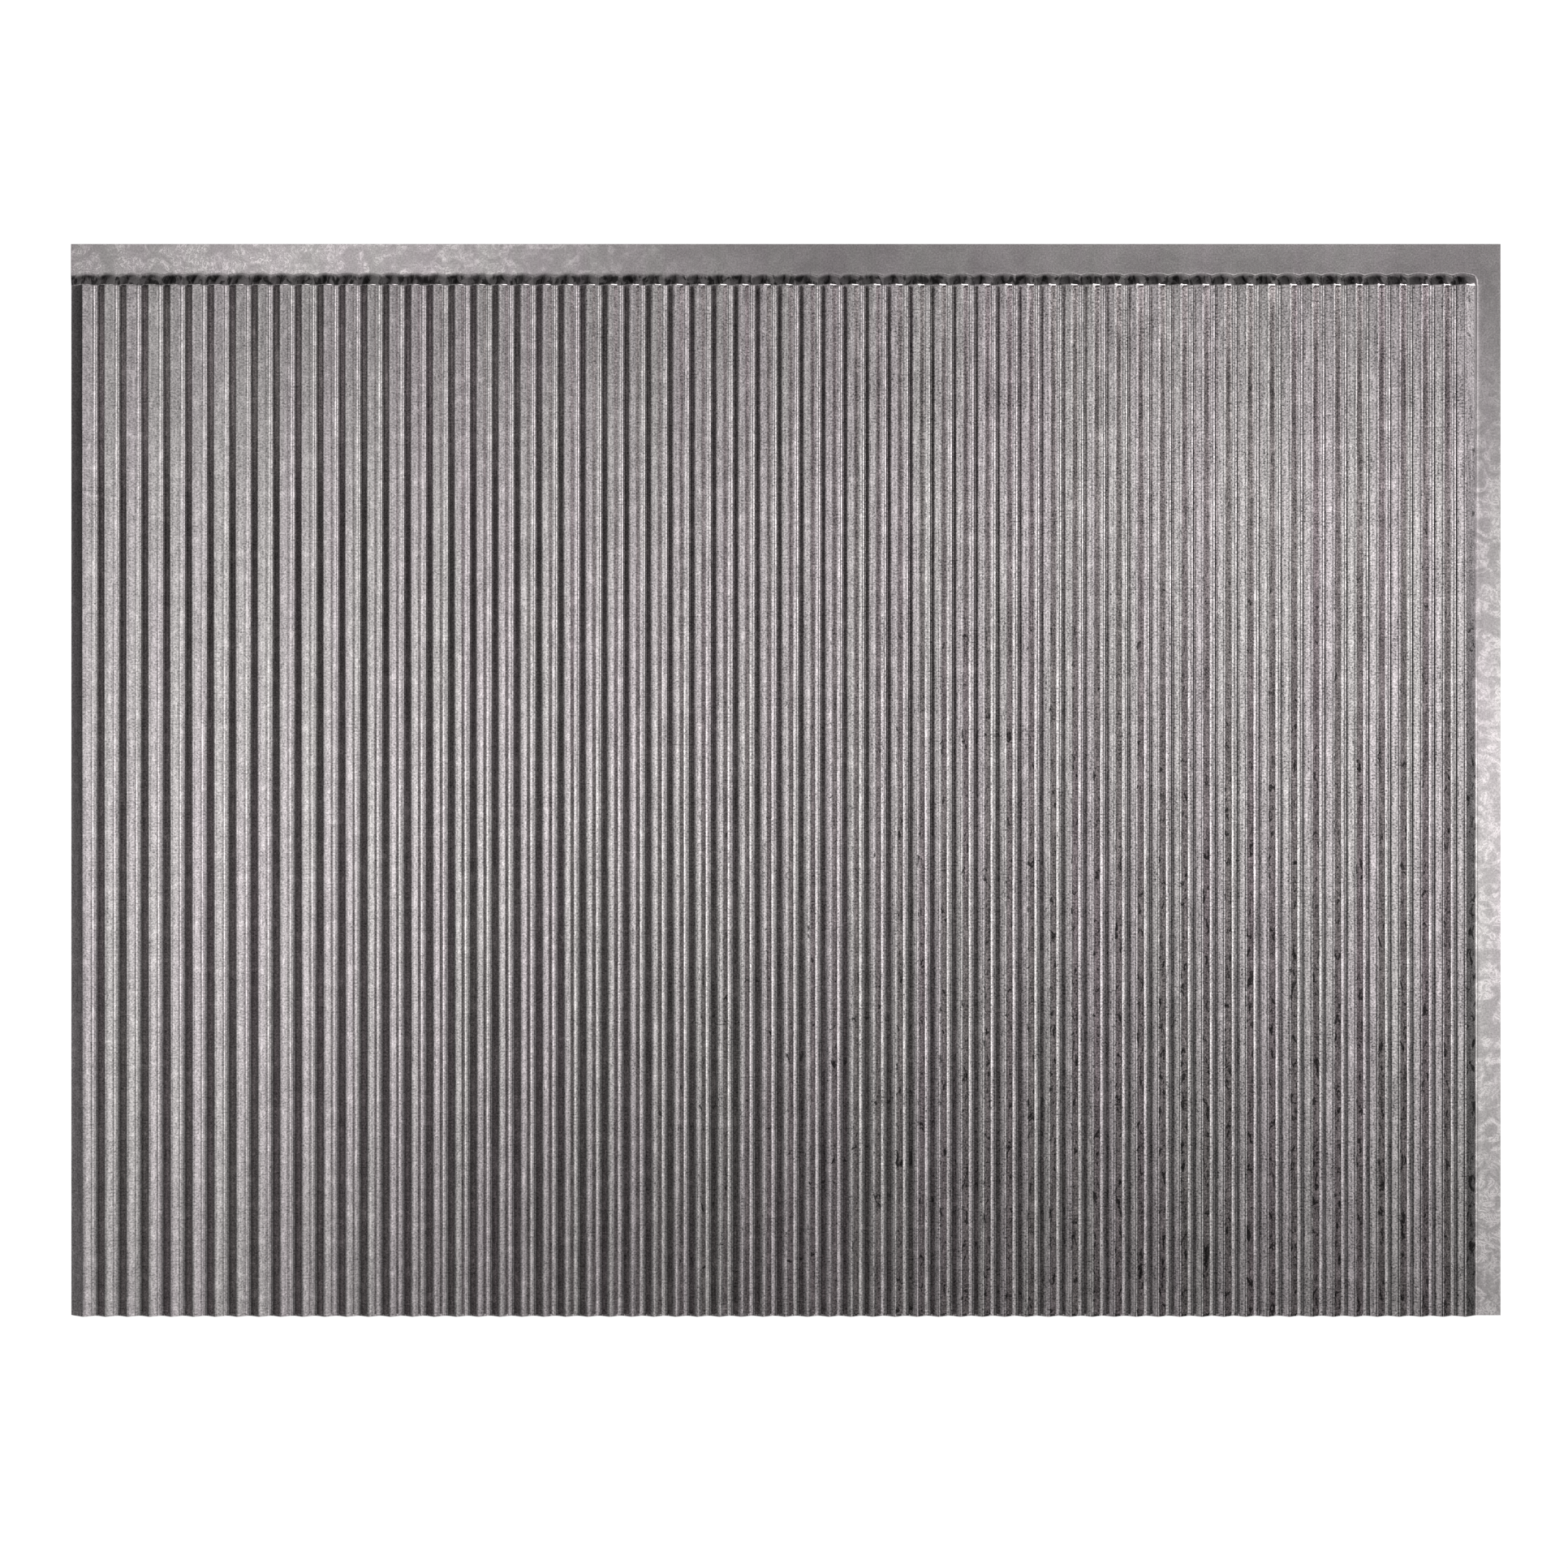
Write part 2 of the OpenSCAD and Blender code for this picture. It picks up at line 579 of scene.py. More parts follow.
@dataclass
class RibHeads:
    """The section along a rib: open foot, straight run and the sloped, bowed closed head."""

    height: float
    full_rise: float
    head_lap: float = 12.6 * MM
    run: float = 5.8 * MM
    bow_radius: float = 14.6 * MM
    foot_radius: float = 2.8 * MM
    brow_radius: float = 0.8 * MM
    round_steps: int = 6
    straight_steps: int = 5
    # places over the head lap: share of its depth, and share of the bow that shows there
    lap_places: tuple[Span, ...] = ((0.02, 0.95), (0.2, 0.6), (0.45, 0.2), (0.8, 0.0), (1.0, 0.0))

    def __post_init__(self) -> None:
        """Works out the rounds and the slope of the closed heads."""
        ease = min(1.0, room(self.run, self.full_rise) / (self.foot_radius + self.brow_radius))
        self.foot = self.foot_radius * ease
        self.brow = self.brow_radius * ease
        self.slope = slope_of(self.run, self.full_rise, self.foot + self.brow)
        self.y_foot = self.height / 2 - self.head_lap
        self.y_brow = self.y_foot - self.run

    def bow(self, off: float) -> float:
        """How far the foot of a rib's head falls back.

        Args:
            off: distance from the rib's crest.

        Returns:
            The distance, below 0.
        """
        return math.sqrt(self.bow_radius ** 2 - off ** 2) - self.bow_radius

    def rows(self) -> list[Row]:
        """All rows from the open foot to the head edge."""
        low, high = -self.height / 2, self.height / 2
        found = [Row(low + (self.y_brow - low) * q, 1.0, 0.0, 0.0)
                 for q in steps(self.straight_steps, 0.0, 1.0)]
        for q in steps(self.round_steps, 0.0, 1.0)[1:]:
            angle = q * self.slope
            y = self.y_brow + self.brow * math.sin(angle)
            drop = self.brow * (1 - math.cos(angle))
            found.append(Row(y, 1 - drop / self.full_rise, math.tan(angle),
                             (y - self.y_brow) / self.run))
        for q in steps(self.round_steps, 1.0, 0.0):
            angle = q * self.slope
            y = self.y_foot - self.foot * math.sin(angle)
            lift = self.foot * (1 - math.cos(angle))
            found.append(Row(y, lift / self.full_rise, math.tan(angle),
                             (y - self.y_brow) / self.run))
        inner = high - self.y_foot
        found += [Row(self.y_foot + inner * q, 0.0, 0.0, bow) for q, bow in self.lap_places]
        return found


@dataclass
class PanelSheet:
    """The whole panel: one thin sheet, pressed, sheared and finished."""

    field_form: RibField
    heads: RibHeads
    name: str = "ribbed_sheet"
    edge_round: float = 0.1 * MM
    edge_segments: int = 2
    sharp_above: float = math.radians(34)

    def face_point(self, column: Station, row: Row) -> Vector:
        """A place on the face.

        Args:
            column: where it is across the panel.
            row: where it is along the ribs.

        Returns:
            Its place in space.
        """
        base = self.field_form.sheet
        bow = self.heads.bow(self.field_form.off_crest(column.x)) * row.bow
        return Vector((column.x, row.y + bow, base + (column.height - base) * row.share))

    def back_point(self, column: Station, row: Row) -> Vector:
        """A place on the back, with one thickness of sheet between it and the face.

        Args:
            column: where it is across the panel.
            row: where it is along the ribs.

        Returns:
            Its place in space.
        """
        form = self.field_form
        face = self.face_point(column, row)
        if column.height == 0.0:
            return Vector((column.x + form.sheet / math.sin(form.flank) * row.share, face.y, 0.0))
        across = row.share * math.tan(column.lean)
        along = row.fall * (column.height - form.sheet) / form.full_rise
        face.z = max(0.0, face.z - form.sheet * math.hypot(across, along, 1.0))
        return face

    def press(self, sheet: bmesh.types.BMesh, point: Callable[[Station, Row], Vector]) -> None:
        """Presses a flat blank into the ribs, their closed heads and the laps.

        Args:
            sheet: the mesh that the blank is added to.
            point: gives each place of the blank its own place in space.
        """
        across, along = self.field_form.stations(), self.heads.rows()
        blank = bmesh.ops.create_grid(
            sheet, x_segments=len(across) - 1, y_segments=len(along) - 1, size=1.0)
        lean = sheet.verts.layers.float[LEAN]
        for vert in blank["verts"]:
            column = across[round((vert.co.x + 1) / 2 * (len(across) - 1))]
            row = along[round((vert.co.y + 1) / 2 * (len(along) - 1))]
            vert.co = point(column, row)
            vert[lean] = math.sin(column.lean) * row.share

    def close(self, sheet: bmesh.types.BMesh) -> None:
        """Closes the sheared edges between face and back, and rounds them a little.

        Args:
            sheet: the pressed face and back.
        """
        rim = [edge for edge in sheet.edges if edge.is_boundary]
        bmesh.ops.bridge_loops(sheet, edges=rim)
        bmesh.ops.recalc_face_normals(sheet, faces=sheet.faces[:])
        rounded = bmesh.ops.bevel(
            sheet, geom=rim, offset=self.edge_round, offset_type="OFFSET",
            segments=self.edge_segments, profile=0.5, affect="EDGES", material=-1,
            clamp_overlap=False)
        self.part_light(sheet, set(rounded["faces"]))
        for vert in sheet.verts:
            vert.co.x = max(vert.co.x, -self.field_form.width / 2)
            vert.co.z = max(vert.co.z, 0.0)

    def part_light(self, sheet: bmesh.types.BMesh, rounded: set[bmesh.types.BMFace]) -> None:
        """Keeps the light on the wide faces apart from the light on the rounded edges.

        Args:
            sheet: the closed sheet.
            rounded: the faces of its rounded edges.
        """
        for edge in sheet.edges:
            beside = sum(face in rounded for face in edge.link_faces)
            edge.smooth = beside != 1 and edge.calc_face_angle(0.0) < self.sharp_above

    def build(self, finish: bpy.types.Material) -> bpy.types.Object:
        """Makes the piece.

        Args:
            finish: the material of every surface of the sheet.

        Returns:
            The finished piece.
        """
        sheet = bmesh.new()
        sheet.verts.layers.float.new(LEAN)
        self.press(sheet, self.face_point)
        self.press(sheet, self.back_point)
        self.close(sheet)
        mesh = bpy.data.meshes.new(self.name)
        sheet.to_mesh(mesh)
        sheet.free()
        mesh.shade_smooth()
        mesh.materials.append(finish)
        piece = bpy.data.objects.new(self.name, mesh)
        bpy.context.scene.collection.objects.link(piece)
        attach(piece, BODY)
        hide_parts(SHEET_NODE)
        return piece


# ---------------------------------------------------------------- finishes


def near(place: float, start: float, end: float) -> Span:
    """A change that lies near a place of the sheet.

    Args:
        place: the place, in metres.
        start: where the change starts, in millimetres from the place.
        end: where it ends, in millimetres from the place.

    Returns:
        Its start and its end, in metres.
    """
    return place + start * MM, place + end * MM


@dataclass(frozen=True)
class SheetMap:
    """Where the finish changes on the panel: starts and ends, in metres from its middle.

    Attributes:
        head_lap: y, onto the head lap.
        head_foot: y, over the foot of the rib heads.
        head_wall: y, onto the wall of the rib heads.
        brow: y, over the rib heads' brow.
        side_lap: x, onto the side lap.
        side_foot: x, over the foot of the last rib.
        last_wall: x, over the end of the last rib head's wall.
        last_trough: x, over the last trough.
        lively_left: x, where the head lap's spangles grow calm.
        calm_side: y, where the side lap's spangles grow calm.
        painted_shade_side: y, where painted shade darkens the side lap.
        painted_shade_head: x, where painted shade darkens the head lap.
        rolled_right: x, where the marks of the rolls grow stronger.
        smudged_right: x, where the smudges grow many.
        smudged_low: y, where they grow few.
        painted_highlight_right: x, where the painted highlight grows on the flanks that face
            right.
        painted_highlight_high: y, where that painted highlight grows along the ribs.
    """

    head_lap: Span
    head_foot: Span
    head_wall: Span
    brow: Span
    side_lap: Span
    side_foot: Span
    last_wall: Span
    last_trough: Span
    lively_left: Span = (-0.17, 0.0)
    calm_side: Span = (0.1, 0.2)
    painted_shade_side: Span = (0.02, 0.09)
    painted_shade_head: Span = (0.235, 0.275)
    rolled_right: Span = (-0.2, 0.15)
    smudged_right: Span = (-0.16, 0.2)
    smudged_low: Span = (-0.12, 0.16)
    painted_highlight_right: Span = (-0.02, 0.22)
    painted_highlight_high: Span = (0.03, 0.19)

    @classmethod
    def of(cls, ribs: RibField, heads: RibHeads) -> "SheetMap":
        """Takes the places that follow the sheet's form from it.

        Args:
            ribs: the section across the panel.
            heads: the section along a rib.

        Returns:
            The map of this sheet.
        """
        lap = ribs.width / 2 - ribs.side_lap
        return cls(
            head_lap=near(heads.y_foot, -1.55, 0.45),
            head_foot=near(heads.y_foot, -2.05, -0.05),
            head_wall=near(heads.y_brow, -0.25, 0.75),
            brow=near(heads.y_brow, -0.75, 1.25),
            side_lap=near(lap, -2.4, -1.4),
            side_foot=near(lap, -4.4, -2.4),
            last_wall=near(lap, -5.9, -3.9),
            last_trough=near(ribs.x_last - ribs.pitch / 2, -0.612, 0.388))


@dataclass(frozen=True)
class SpangledZinc:
    """Zinc-grey metal with feathery spangles, rolling streaks and a fine grain.

    The spangles are strong on the left of the head lap and along the side lap, and calm on the
    rest of the panel. The flanks that face right carry small dark smudges, more of them towards
    the lower right, and a painted highlight that brightens them towards the upper right. Painted
    shade darkens both laps towards the corner where they meet.
    """

    places: SheetMap
    name: str = "spangled_zinc"
    tone: Colour = (0.286, 0.268, 0.2705)
    plum: Colour = (1.015, 0.988, 1.012)
    moss: Colour = (0.99, 1.008, 0.988)
    shine: float = 0.06
    cloud_shine: float = 0.06
    relief: float = 0.008 * MM
    grain_relief: float = 0.3
    # brightness of the bare metal, and how far each pattern changes it
    bare: float = 0.86
    cloud_depth: float = 0.14
    feather_depth: float = 0.8
    feather_mean: float = 0.08
    fleck_depth: float = 0.34
    streak_depth: float = 1.5
    grain_depth: float = 2.8
    smudge_depth: float = 0.82
    # how much brightness the painted shade takes from the head lap and from the side lap
    head_painted_shade: float = 0.18
    side_painted_shade: float = 0.16
    # how much brightness the painted highlight adds to the flanks that face right
    painted_highlight_gain: float = 0.9
    # strength of a pattern at both ends of where it changes
    head_spangle: Span = (0.12, 1.0)
    side_spangle: Span = (0.22, 0.82)
    rib_streaks: Span = (0.5, 1.0)
    rib_grain: Span = (0.45, 0.75)
    lap_grain: float = 0.3
    high_smudges: float = 0.2
    # the noises
    strokes: Pattern = Pattern(210.0, 3.0, 0.55, 2.2)
    patches: Pattern = Pattern(110.0, 2.0, 0.5, 1.4)
    clouds: Pattern = Pattern(55.0, 3.0, 0.55, 0.4)
    grains: Pattern = Pattern(1350.0, 1.0, 0.6)
    flecks: Pattern = Pattern(330.0, 3.0, 0.65, 0.5, along=0.6, layer=4.0)
    streaks: Pattern = Pattern(1300.0, 2.0, 0.6, along=0.03)
    spots: Pattern = Pattern(380.0, 3.0, 0.6, 0.8, along=0.5, layer=0.7)
    hues: Pattern = Pattern(80.0, 2.0, 0.6, along=0.05, layer=2.0)
    # where a noise starts to count, and where it counts in full
    stroke_width: float = 0.1
    stroke_range: Span = (0.25, 1.0)
    patch_cut: Span = (0.38, 0.6)
    fleck_cut: Span = (0.5, 0.68)
    hue_cut: Span = (0.35, 0.65)
    wall_cut: Span = (0.46, 0.6)
    # the least noise that makes a smudge, where smudges are few and where they are many
    smudge_cut: Span = (0.66, 0.55)
    smudge_edge: float = 0.06
    smudge_start: Span = (0.02, 0.3)
    # how steeply a flank that faces right has to lean
    smudged_lean: Span = (0.45, 0.6)
    # how steeply a flank that faces right has to lean to take the painted highlight
    painted_highlight_lean: Span = (0.3, 0.6)

    def feathers(self, graph: Graph, x: Socket, y: Socket) -> Socket:
        """Curled strokes of the spangle.

        Args:
            graph: the material's nodes.
            x: place across the panel.
            y: place along the ribs.

        Returns:
            How much of a stroke there is, 0 to 1.
        """
        fine = graph.noise(x, y, self.strokes)
        broad = graph.noise(x, y, self.patches)
        stroke = 1 - abs(fine - MIDDLE).ramp(0.0, self.stroke_width)
        return stroke.spread(*self.stroke_range) * broad.ramp(*self.patch_cut)

    def liveliness(self, x: Socket, y: Socket) -> Socket:
        """How strong the spangles are.

        Args:
            x: place across the panel.
            y: place along the ribs.

        Returns:
            Their strength, 0 to 1.
        """
        head = y.ramp(*self.places.head_lap)
        left = 1 - x.ramp(*self.places.lively_left)
        side = x.ramp(*self.places.side_foot) * (1 - y.ramp(*self.places.calm_side))
        return (left.spread(*self.head_spangle) * head
                + side.spread(*self.side_spangle) * (1 - head))

    def painted_lap_shade(self, x: Socket, y: Socket) -> Socket:
        """Paints shade on both laps, darkening them a little towards the corner where they meet.

        Args:
            x: place across the panel.
            y: place along the ribs.

        Returns:
            What is left of the brightness, 1 where nothing is taken.
        """
        head = y.ramp(*self.places.head_foot)
        side = x.ramp(*self.places.side_lap) * y.ramp(*self.places.painted_shade_side) * (1 - head)
        return (1 - self.side_painted_shade * side
                - self.head_painted_shade * head * x.ramp(*self.places.painted_shade_head))

    def smudges(self, graph: Graph, x: Socket, y: Socket) -> Socket:
        """Dark smudges on the flanks that face right and on the walls of the rib heads.

        Args:
            graph: the material's nodes.
            x: place across the panel.
            y: place along the ribs.

        Returns:
            How much of a smudge there is, 0 to 1.
        """
        spots = graph.noise(x, y, self.spots)
        low = 1 - y.ramp(*self.places.smudged_low)
        amount = x.ramp(*self.places.smudged_right) * low.spread(self.high_smudges, 1.0)
        least = amount.spread(*self.smudge_cut)
        flank = (graph.lean().ramp(*self.smudged_lean) * amount.ramp(*self.smudge_start)
                 * (spots - least).ramp(0.0, self.smudge_edge))
        wall = y.ramp(*self.places.head_wall) * (1 - y.ramp(*self.places.head_foot))
        wall = wall * spots.ramp(*self.wall_cut) * (1 - x.ramp(*self.places.last_wall))
        return flank.most(wall)

    def painted_highlight(self, graph: Graph, x: Socket, y: Socket) -> Socket:
        """Painted highlight that brightens the flanks that face right, towards the upper right.

        Args:
            graph: the material's nodes.
            x: place across the panel.
            y: place along the ribs.

        Returns:
            The brightness that they gain, as a share.
        """
        within = x.ramp(*self.places.painted_highlight_right) * (1 - x.ramp(*self.places.last_trough))
        lean = graph.lean().ramp(*self.painted_highlight_lean)
        return self.painted_highlight_gain * lean * within * y.ramp(*self.places.painted_highlight_high)

    def brightness(self, graph: Graph, x: Socket, y: Socket, feather: Socket, cloud: Socket,
                   grain: Socket) -> Socket:
        """Adds all patterns up, with the painted highlight on the flanks that face right and the
        painted shade on the laps.

        Args:
            graph: the material's nodes.
            x: place across the panel.
            y: place along the ribs.
            feather: the spangles' strokes.
            cloud: the broad clouds.
            grain: the fine grain, around 0.

        Returns:
            The metal's brightness, about 1.
        """
        on_ribs = (1 - y.ramp(*self.places.brow)) * (1 - x.ramp(*self.places.side_lap))
        right = x.ramp(*self.places.rolled_right)
        flecks = graph.noise(x, y, self.flecks).ramp(*self.fleck_cut)
        streaks = (graph.noise(x, y, self.streaks) - MIDDLE) * on_ribs
        grain_share = self.lap_grain + right.spread(*self.rib_grain) * on_ribs
        light = (self.bare + self.feather_depth * (feather - self.feather_mean)
                 + self.cloud_depth * cloud
                 + self.fleck_depth * flecks * on_ribs
                 + self.streak_depth * streaks * right.spread(*self.rib_streaks)
                 + self.grain_depth * grain * grain_share)
        # painted highlight on the flanks that face right, towards the upper right
        # painted shade on both laps, towards the corner where they meet
        light = light * (1 + self.painted_highlight(graph, x, y)) * self.painted_lap_shade(x, y)
        return light * (1 - self.smudge_depth * self.smudges(graph, x, y))

    def make(self) -> bpy.types.Material:
        """Builds the material.

        Returns:
            The material.
        """
        material = bpy.data.materials.new(self.name)
        material.use_nodes = True
        graph = Graph(material.node_tree)
        x, y, _ = graph.parts(graph.node("ShaderNodeTexCoord", None, None, "Object"))
        feather = self.feathers(graph, x, y) * self.liveliness(x, y)
        cloud = graph.noise(x, y, self.clouds)
        grain = graph.noise(x, y, self.grains) - MIDDLE
        light = self.brightness(graph, x, y, feather, cloud, grain)
        hue = graph.noise(x, y, self.hues).ramp(*self.hue_cut)
        tint = graph.mix(1.0, self.tone, graph.mix(hue, self.plum, self.moss), "MULTIPLY")
        colour = graph.mix(1.0, tint, graph.vector(light, light, light), "MULTIPLY")
        bump = graph.node(
            "ShaderNodeBump", None,
            {"Strength": 1.0, "Distance": self.relief,
             "Height": feather + self.grain_relief * grain})
        shader = graph.node(
            "ShaderNodeBsdfPrincipled", None,
            {"Base Color": colour, "Metallic": 1.0,
             "Roughness": self.shine + self.cloud_shine * cloud, "Normal": bump})
        graph.node("ShaderNodeOutputMaterial", None, {"Surface": shader})
        return material


@dataclass(frozen=True)
class PaleFloor:
    """Matt white studio paper, lit from within so that it stays even."""

    name: str = "pale_floor"
    tone: Colour = (0.3, 0.3, 0.3)
    glow_tone: Colour = (1.0, 1.0, 1.0)
    glow: float = 0.85
    roughness: float = 0.9

    def make(self) -> bpy.types.Material:
        """Builds the material.

        Returns:
            The material.
        """
        material = bpy.data.materials.new(self.name)
        material.use_nodes = True
        graph = Graph(material.node_tree)
        shader = graph.node(
            "ShaderNodeBsdfPrincipled", None,
            {"Base Color": (*self.tone, 1.0), "Roughness": self.roughness,
             "Emission Color": (*self.glow_tone, 1.0), "Emission Strength": self.glow})
        graph.node("ShaderNodeOutputMaterial", None, {"Surface": shader})
        return material


# ---------------------------------------------------------------- the set


@dataclass(frozen=True)
class LightRow:
    """The surround's brightness at one angle along the ribs.

    Attributes:
        along: the angle in degrees, above 0 towards the head.
        levels: the brightness in hundredths, for each step of the angle across the ribs.
    """

    along: float
    levels: tuple[int, ...]


@dataclass(frozen=True)
class Surround:
    """The studio's light, seen by direction: a table of levels, a fade past it and a soft lamp.

    A direction is given by two angles from straight up, in degrees: across the ribs, above 0 to
    the right, and along them, above 0 towards the head.

    The levels in rows are data and not a design: a separate program fitted them, and nobody set
    them by hand. A few plain soft panels of light, set by hand, belong in their place.
    """

    name: str = "studio_surround"
    tone: Colour = (1.0, 1.0, 1.0)
    first_across: float = -108.0
    step_across: float = 7.2
    step_along: float = 4.0
    # levels past the last row, by angle along the ribs, on the left and on the right
    head_left: tuple[Span, ...] = (
        (12, 0.95), (24, 0.75), (36, 0.42), (50, 0.26), (65, 0.15), (85, 0.1))
    head_right: tuple[Span, ...] = (
        (13, 0.72), (19, 0.4), (28, 1.0), (35, 0.6), (48, 0.45), (65, 0.35), (85, 0.25))
    # where the left goes over into the right, and the rows into the levels past them
    head_across: Span = (-6.0, 8.0)
    head_along: Span = (10.5, 14.5)
    # soft lamp towards the head and the right: where it is, how wide and how bright it is
    lamp_place: Span = (94.0, 26.0)
    lamp_reach: Span = (22.0, 16.0)
    lamp_edge: float = 0.6
    lamp_level: float = 8.0
    rows: tuple[LightRow, ...] = (
        LightRow(-12, (
            55, 47, 43, 46, 55, 60, 49, 40, 33, 28, 26, 29, 36, 42, 55, 71,
            89, 94, 83, 83, 96, 104, 104, 91, 78, 62, 36, 23, 40, 77, 123)),
        LightRow(-8, (
            64, 49, 36, 27, 32, 92, 0, 8, 50, 42, 17, 31, 49, 46, 93, 70,
            91, 110, 84, 77, 108, 131, 122, 74, 73, 168, 46, 0, 35, 88, 146)),
        LightRow(-4, (
            75, 59, 40, 5, 42, 177, 2, 18, 70, 46, 13, 43, 72, 57, 104, 95,
            160, 194, 96, 74, 204, 313, 290, 134, 36, 230, 158, 0, 63, 122, 150)),
        LightRow(0, (
            77, 55, 29, 0, 117, 227, 51, 0, 0, 120, 200, 102, 53, 66, 69, 163,
            240, 242, 145, 71, 208, 369, 376, 220, 88, 217, 256, 0, 74, 144, 150)),
        LightRow(4, (
            70, 45, 18, 0, 169, 226, 69, 0, 0, 301, 437, 177, 29, 52, 20, 197,
            247, 159, 310, 230, 207, 208, 157, 95, 101, 185, 179, 65, 122, 175, 150)),
        LightRow(8, (
            63, 41, 19, 0, 134, 140, 97, 0, 14, 239, 305, 138, 20, 52, 218, 56,
            46, 93, 366, 245, 83, 25, 59, 128, 159, 105, 108, 142, 180, 205, 150)),
        LightRow(12, (
            55, 31, 5, 0, 67, 84, 67, 55, 83, 124, 126, 88, 58, 25, 23, 125,
            330, 399, 347, 215, 106, 69, 90, 129, 142, 111, 101, 117, 156, 195, 150)),
    )

    def row_level(self, graph: Graph, across: Socket, row: LightRow) -> Socket:
        """Looks the brightness of one row up.

        Args:
            graph: the world's nodes.
            across: angle across the ribs, in degrees.
            row: the row.

        Returns:
            The row's level where the light comes from.
        """
        steps_across = len(row.levels) - 1
        last = self.first_across + self.step_across * steps_across
        most = max(row.levels)
        stops = [(k / steps_across, (level / most,) * 3) for k, level in enumerate(row.levels)]
        share = across.ramp(self.first_across, last, Edge.STRAIGHT)
        colour = graph.node("ShaderNodeValToRGB", {"stops": stops}, {0: share}, "Color")
        return graph.parts(colour)[0] * (most / HUNDRED)

    @staticmethod
    def head_level(graph: Graph, angle: Socket, places: Sequence[Span]) -> Socket:
        """Fade of the light towards the head.

        Args:
            graph: the world's nodes.
            angle: angle along the ribs, in degrees.
            places: the level at some angles.

        Returns:
            The level where the light comes from.
        """
        stops = [(place / QUARTER, (level,) * 3) for place, level in places]
        ramp = graph.node("ShaderNodeValToRGB", {"stops": stops}, {0: angle / QUARTER}, "Color")
        return graph.parts(ramp)[0]

    def lamp(self, across: Socket, along: Socket) -> Socket:
        """Looks the soft lamp's brightness up.

        Args:
            across: angle across the ribs, in degrees.
            along: angle along the ribs, in degrees.

        Returns:
            The lamp's level where the light comes from.
        """
        aside = abs(across - self.lamp_place[0]) / self.lamp_reach[0]
        above = abs(along - self.lamp_place[1]) / self.lamp_reach[1]
        within = 1 - (aside * aside + above * above) ** 0.5
        return self.lamp_level * within.ramp(0.0, self.lamp_edge)

    def level(self, graph: Graph, across: Socket, along: Socket) -> Socket:
        """Looks the surround's brightness up.

        Args:
            graph: the world's nodes.
            across: angle across the ribs, in degrees.
            along: angle along the ribs, in degrees.

        Returns:
            The level where the light comes from.
        """
        within = along.most(self.rows[0].along).least(self.rows[-1].along)
        level: Operand = 0.0
        for row in self.rows:
            close = (1 - abs(within - row.along) / self.step_along).most(0.0)
            level = level + close * self.row_level(graph, across, row)
        left = self.head_level(graph, along, self.head_left)
        right = self.head_level(graph, along, self.head_right)
        head = left + (right - left) * across.ramp(*self.head_across)
        level = level + (head - level) * along.ramp(*self.head_along)
        return level + self.lamp(across, along)

    def build(self) -> bpy.types.World:
        """Makes the world and gives it to the scene.

        Returns:
            The world.
        """
        world = bpy.data.worlds.new(self.name)
        world.use_nodes = True
        world.cycles.sampling_method = "NONE"
        bpy.context.scene.world = world
        graph = Graph(world.node_tree)
        toward = graph.node("ShaderNodeTexCoord", None, None, "Generated")
        x, y, z = graph.parts(toward)
        degree = math.degrees(1)
        across = x.angle_from(z) * degree
        along = y.angle_from((x * x + z * z) ** 0.5) * degree
        background = graph.node(
            "ShaderNodeBackground", None,
            {"Color": (*self.tone, 1.0), "Strength": self.level(graph, across, along)})
        graph.node("ShaderNodeOutputWorld", None, {"Surface": background})
        return world


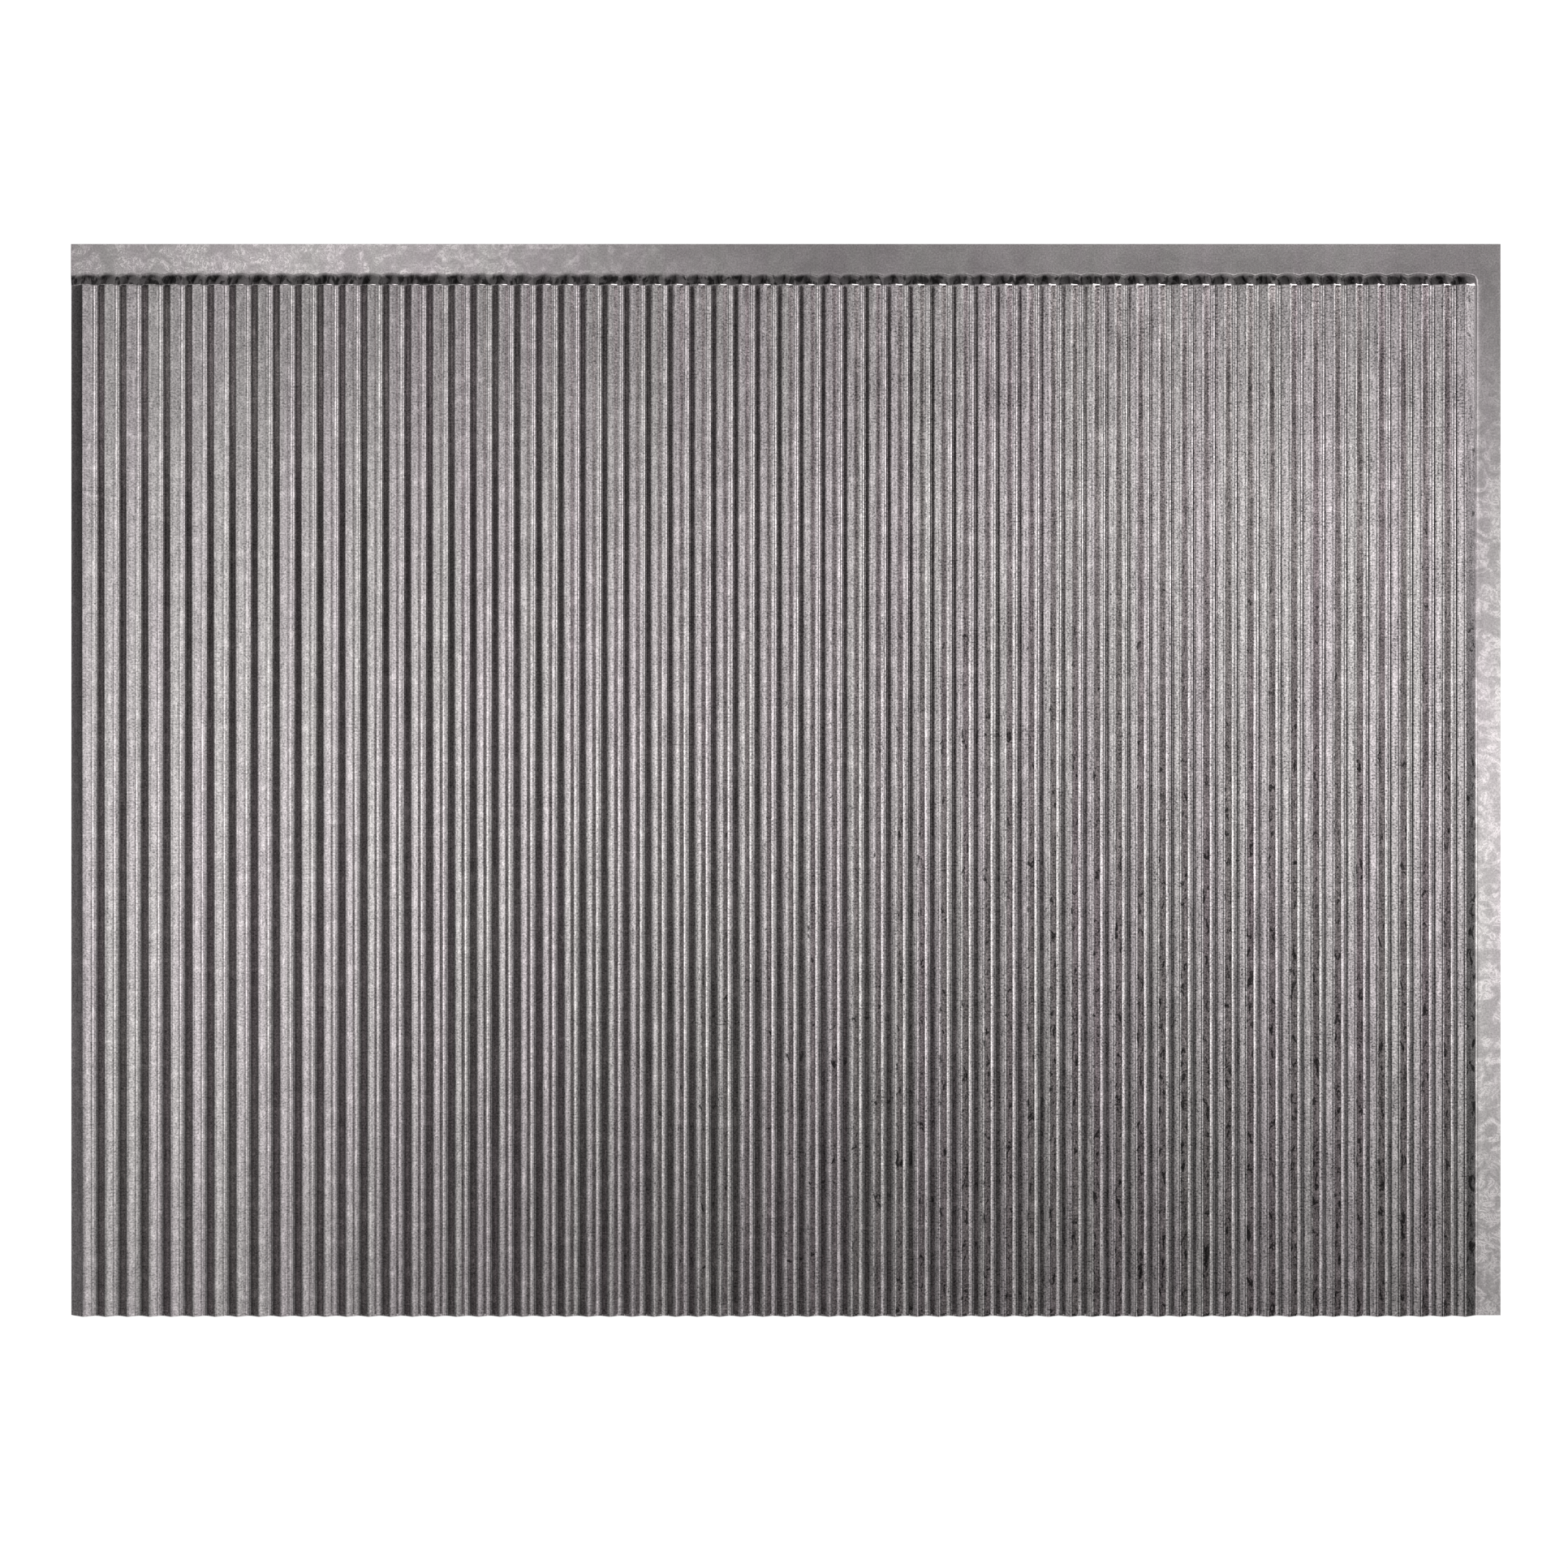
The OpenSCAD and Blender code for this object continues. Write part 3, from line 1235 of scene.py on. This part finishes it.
@dataclass
class StudioFloor:
    """The floor, large enough to fill the view. The panel's metal doesn't mirror it."""

    name: str = "studio_floor"
    reach: float = 12.0
    cells: int = 4

    def build(self, finish: bpy.types.Material) -> bpy.types.Object:
        """Makes the floor.

        Args:
            finish: the floor's material.

        Returns:
            The floor.
        """
        form = bmesh.new()
        bmesh.ops.create_grid(
            form, x_segments=self.cells, y_segments=self.cells, size=self.reach)
        mesh = bpy.data.meshes.new(self.name)
        form.to_mesh(mesh)
        form.free()
        mesh.materials.append(finish)
        floor = bpy.data.objects.new(self.name, mesh)
        bpy.context.scene.collection.objects.link(floor)
        floor.visible_glossy = False
        return floor


@dataclass
class OverheadCamera:
    """A long lens straight above the panel.

    Attributes:
        name: the camera's name.
        distance: its height above the floor, in metres.
        seen_width: how much of the floor it sees from side to side, in metres.
        aside: how far it is off the panel's middle, in metres.
        sensor: width of its sensor, in millimetres.
    """

    name: str = "overhead"
    distance: float = 1.58
    seen_width: float = 682.8 * MM
    aside: Span = (-0.76 * MM, -1.9 * MM)
    sensor: float = 36.0

    def build(self, middle: Vector) -> bpy.types.Object:
        """Makes the camera and gives it to the scene.

        Args:
            middle: the panel's middle, in metres.

        Returns:
            The camera.
        """
        data = bpy.data.cameras.new(self.name)
        data.sensor_width = self.sensor
        data.lens = self.sensor * self.distance / self.seen_width
        camera = bpy.data.objects.new(self.name, data)
        camera.location = (middle.x + self.aside[0], middle.y + self.aside[1], self.distance)
        bpy.context.scene.collection.objects.link(camera)
        bpy.context.scene.camera = camera
        return camera


def main() -> None:
    """Builds the panel and its set, in order."""
    logging.basicConfig(level=logging.INFO, format="%(name)s: %(message)s")
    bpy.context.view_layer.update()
    low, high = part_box(SHEET_NODE)
    size = high - low
    ribs = RibField(width=size.x, crest_height=size.z)
    heads = RibHeads(height=size.y, full_rise=ribs.full_rise)
    finish = SpangledZinc(SheetMap.of(ribs, heads)).make()
    piece = PanelSheet(ribs, heads).build(finish)
    LOG.info("%s: %d ribs, %d faces", piece.name, ribs.ribs, len(piece.data.polygons))
    floor = StudioFloor().build(PaleFloor().make())
    LOG.info("%s", floor.name)
    world = Surround().build()
    LOG.info("%s", world.name)
    camera = OverheadCamera().build((low + high) / 2)
    LOG.info("%s: %.1f mm lens", camera.name, camera.data.lens)
    bpy.context.scene.view_settings.view_transform = "Standard"


if __name__ == "__main__":
    main()
